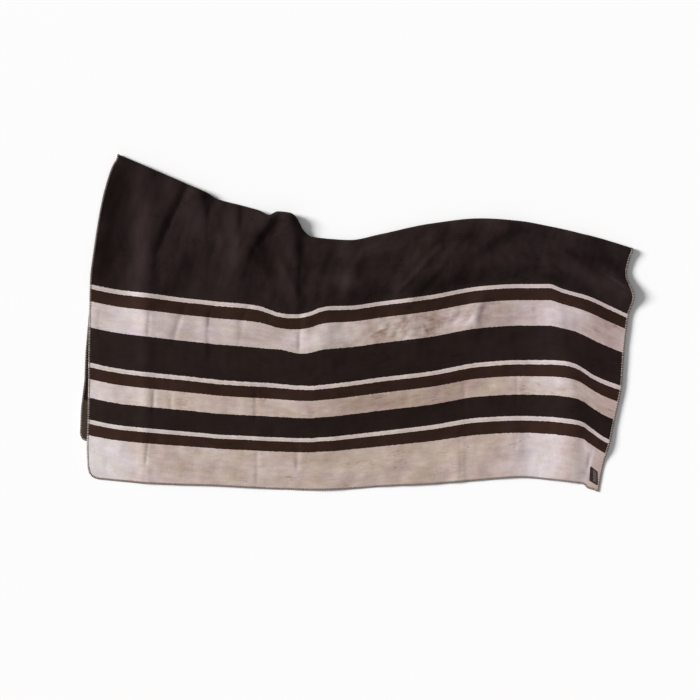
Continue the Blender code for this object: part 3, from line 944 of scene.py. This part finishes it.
# The profile of each from its underside to the middle of its top, in millimetres.
PROFILE_COLUMNS = ("inset", "height")
PATCH_PROFILE = (
    (0.4, 3.9), (0.0, 4.2), (0.0, 5.0), (0.2, 5.35), (0.7, 5.55),
    (1.3, 5.55), (1.6, 5.3), (2.1, 5.3), (2.5, 5.55), (5.0, 5.65),
)
FIELD_PROFILE = ((0.2, 5.4), (0.0, 5.6), (0.0, 5.8), (0.25, 5.98), (0.8, 6.05), (3.0, 6.12))
PATCH_ROUNDING = 3.0
FIELD_ROUNDING = 1.6
LEAST_ROUNDING = 0.3
ROUNDING_STEPS = 6


def inset_outline(corners, inset, rounding):
    """The outline of a slip of leather, drawn in by the inset, with its corners rounded."""
    points = [Vector(corner) for corner in corners]
    outline = []
    for before, here, after in zip(points[-1:] + points[:-1], points, points[1:] + points[:1]):
        to_before, to_after = (before - here).normalized(), (after - here).normalized()
        half = to_before.angle(to_after) / 2.0
        middle = (to_before + to_after).normalized()
        corner = here + middle * inset / np.sin(half)
        radius = max(rounding - inset, LEAST_ROUNDING)
        centre = corner + middle * radius / np.sin(half)
        first = (corner + to_before * radius / np.tan(half)) - centre
        last = (corner + to_after * radius / np.tan(half)) - centre
        for k in range(ROUNDING_STEPS + 1):
            way = first.lerp(last, k / ROUNDING_STEPS).normalized()
            outline.append(centre + way * radius)
    return outline


def leather_slip(name, corners, profile, rounding, finish):
    """A slip of leather, lofted through its profile and closed below and above."""
    slip = bmesh.new()
    rings = []
    for row in profile:
        step = dict(zip(PROFILE_COLUMNS, row))
        outline = inset_outline(corners, step["inset"], rounding)
        rings.append([slip.verts.new((p.x * MM, p.y * MM, step["height"] * MM)) for p in outline])
    for lower, upper in zip(rings, rings[1:]):
        for k in range(len(lower)):
            after = (k + 1) % len(lower)
            slip.faces.new((lower[k], lower[after], upper[after], upper[k]))
    slip.faces.new(rings[0])
    slip.faces.new(rings[-1])
    bmesh.ops.recalc_face_normals(slip, faces=slip.faces)
    for face in slip.faces:
        face.smooth = True
    mesh = bpy.data.meshes.new(name)
    slip.to_mesh(mesh)
    slip.free()
    mesh.materials.append(finish)
    made = put_in_scene(name, mesh)
    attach(made, "root")
    return made


def tanned_leather(name, deep, pale, roughness):
    """Tanned leather with its pebbled grain. The grain is about 0.5 mm, drawn at 1.2 mm to show, and the
    dye is cloudy over 8 mm."""
    made, tree, shader = new_material(name)
    here = add_node(tree, "ShaderNodeTexCoord").outputs["Object"]
    cloudy = add_node(tree, "ShaderNodeTexNoise", Vector=here, Scale=125.0, Detail=3.0)
    grain = add_node(tree, "ShaderNodeTexVoronoi", Vector=here, Scale=830.0)
    shares = add_node(tree, "ShaderNodeMapRange", Value=cloudy.outputs["Fac"], From_Min=0.3, From_Max=0.7)
    tones = add_node(tree, "ShaderNodeMix", {"data_type": "RGBA"}, i0=shares.outputs["Result"],
                     A=linear(deep), B=linear(pale))
    tree.links.new(tones.outputs["Result"], shader.inputs["Base Color"])
    pebbles = add_node(tree, "ShaderNodeBump", {"invert": True}, Height=grain.outputs["Distance"],
                       Strength=0.5, Distance=0.0002)
    tree.links.new(pebbles.outputs["Normal"], shader.inputs["Normal"])
    worn = add_node(tree, "ShaderNodeMapRange", Value=cloudy.outputs["Fac"], To_Min=roughness + 0.1,
                    To_Max=roughness - 0.1)
    tree.links.new(worn.outputs["Result"], shader.inputs["Roughness"])
    shader.inputs["Specular IOR Level"].default_value = 0.3
    return made


leather_patch = leather_slip("leather_patch", PATCH_CORNERS, PATCH_PROFILE, PATCH_ROUNDING,
                             tanned_leather("dark tanned leather", "1C100F", "33211F", 0.6))
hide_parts("corner_patch")
plain_field = leather_slip("plain_field", FIELD_CORNERS, FIELD_PROFILE, FIELD_ROUNDING,
                           tanned_leather("rubbed tanned leather", "483838", "665452", 0.7))

# Waxed linen thread, one stitch in the groove about every 4 mm round the edge. About two thirds of each
# stitch shows, at these heights from where it comes up to where it goes down.
THREAD_RADIUS = 0.28
THREAD_INSET = 1.85
THREAD_PITCH = 3.9
THREAD_SHOWS = 0.68
THREAD_HEIGHTS = (5.25, 5.55, 5.62, 5.55, 5.25)
outline = np.array([tuple(p) for p in inset_outline(PATCH_CORNERS, THREAD_INSET, PATCH_ROUNDING)])
outline = np.concatenate([outline, outline[:1]])
travelled = np.concatenate([[0.0], np.cumsum(np.linalg.norm(np.diff(outline, axis=0), axis=1))])
thread_count = round(travelled[-1] / THREAD_PITCH)
thread, tree, shader = new_material("waxed linen thread")
here = add_node(tree, "ShaderNodeTexCoord").outputs["Object"]
twist = add_node(tree, "ShaderNodeTexNoise", Vector=here, Scale=1500.0, Detail=1.0)
tones = add_node(tree, "ShaderNodeMix", {"data_type": "RGBA"}, i0=twist.outputs["Fac"],
                 A=linear("2E201E"), B=linear("5A4744"))
tree.links.new(tones.outputs["Result"], shader.inputs["Base Color"])
shader.inputs["Roughness"].default_value = 0.6
thread_curve = spun("patch_thread", THREAD_RADIUS, thread)
pitch = travelled[-1] / thread_count
shares = np.linspace(0.0, THREAD_SHOWS, len(THREAD_HEIGHTS))
for k in range(thread_count):
    spline = thread_curve.splines.new("POLY")
    spline.points.add(len(THREAD_HEIGHTS) - 1)
    for point, share, height in zip(spline.points, shares, THREAD_HEIGHTS):
        x, y = (np.interp((k + share) * pitch, travelled, outline[:, axis]) for axis in (0, 1))
        point.co = (x * MM, y * MM, height * MM, 1.0)
patch_thread = put_in_scene("patch_thread", thread_curve)
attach(patch_thread, "root")

# The studio
# A plain pale floor, a large soft light from the left, as in the photograph, and a weak fill. The floor is
# so wide that its edge never shows, and lies just under the cloth without touching it. Its sizes are in
# metres.

FLOOR_WIDTH = 120.0
FLOOR_DROP = 0.0006
LIGHT_COMES_FROM = (-8.6, 2.4, 4.55)
floor_finish, tree, shader = new_material("matt white floor")
shader.inputs["Base Color"].default_value = linear("FDFCFC")
shader.inputs["Roughness"].default_value = 0.9
bpy.ops.mesh.primitive_plane_add(size=FLOOR_WIDTH, location=(0.0, 0.0, -FLOOR_DROP))
floor = bpy.context.object
floor.name = "floor"
floor.data.materials.append(floor_finish)

sun_data = bpy.data.lights.new("soft key", "SUN")
sun_data.energy = 4.85
sun_data.angle = 0.35
sun = put_in_scene("soft key", sun_data)
sun.rotation_euler = Vector(LIGHT_COMES_FROM).to_track_quat("Z", "Y").to_euler()
world = bpy.data.worlds.new("studio")
world.use_nodes = True
world.node_tree.nodes["Background"].inputs["Color"].default_value = (1.0, 1.0, 1.0, 1.0)
world.node_tree.nodes["Background"].inputs["Strength"].default_value = 0.30
bpy.context.scene.world = world
bpy.context.scene.view_settings.view_transform = "Standard"

# The camera looks straight down on the laid blanket. The photograph is 700 px wide, 1 px is 3.8 mm, and
# its middle is 6.5 px left of and 27 px below the box's middle.
MM_PER_PX = 3.8
PHOTO_WIDTH_PX = 700
PHOTO_MIDDLE_PX = (350.0, 350.0)
BOX_MIDDLE_PX = (356.5, 323.0)
camera_data = bpy.data.cameras.new("camera")
camera_data.lens = 85.0
camera = put_in_scene("camera", camera_data)
camera_x = (PHOTO_MIDDLE_PX[0] - BOX_MIDDLE_PX[0]) * MM_PER_PX * MM
camera_y = (BOX_MIDDLE_PX[1] - PHOTO_MIDDLE_PX[1]) * MM_PER_PX * MM
view_width = PHOTO_WIDTH_PX * MM_PER_PX * MM
camera.location = (camera_x, camera_y, view_width * camera_data.lens / camera_data.sensor_width)
bpy.context.scene.camera = camera
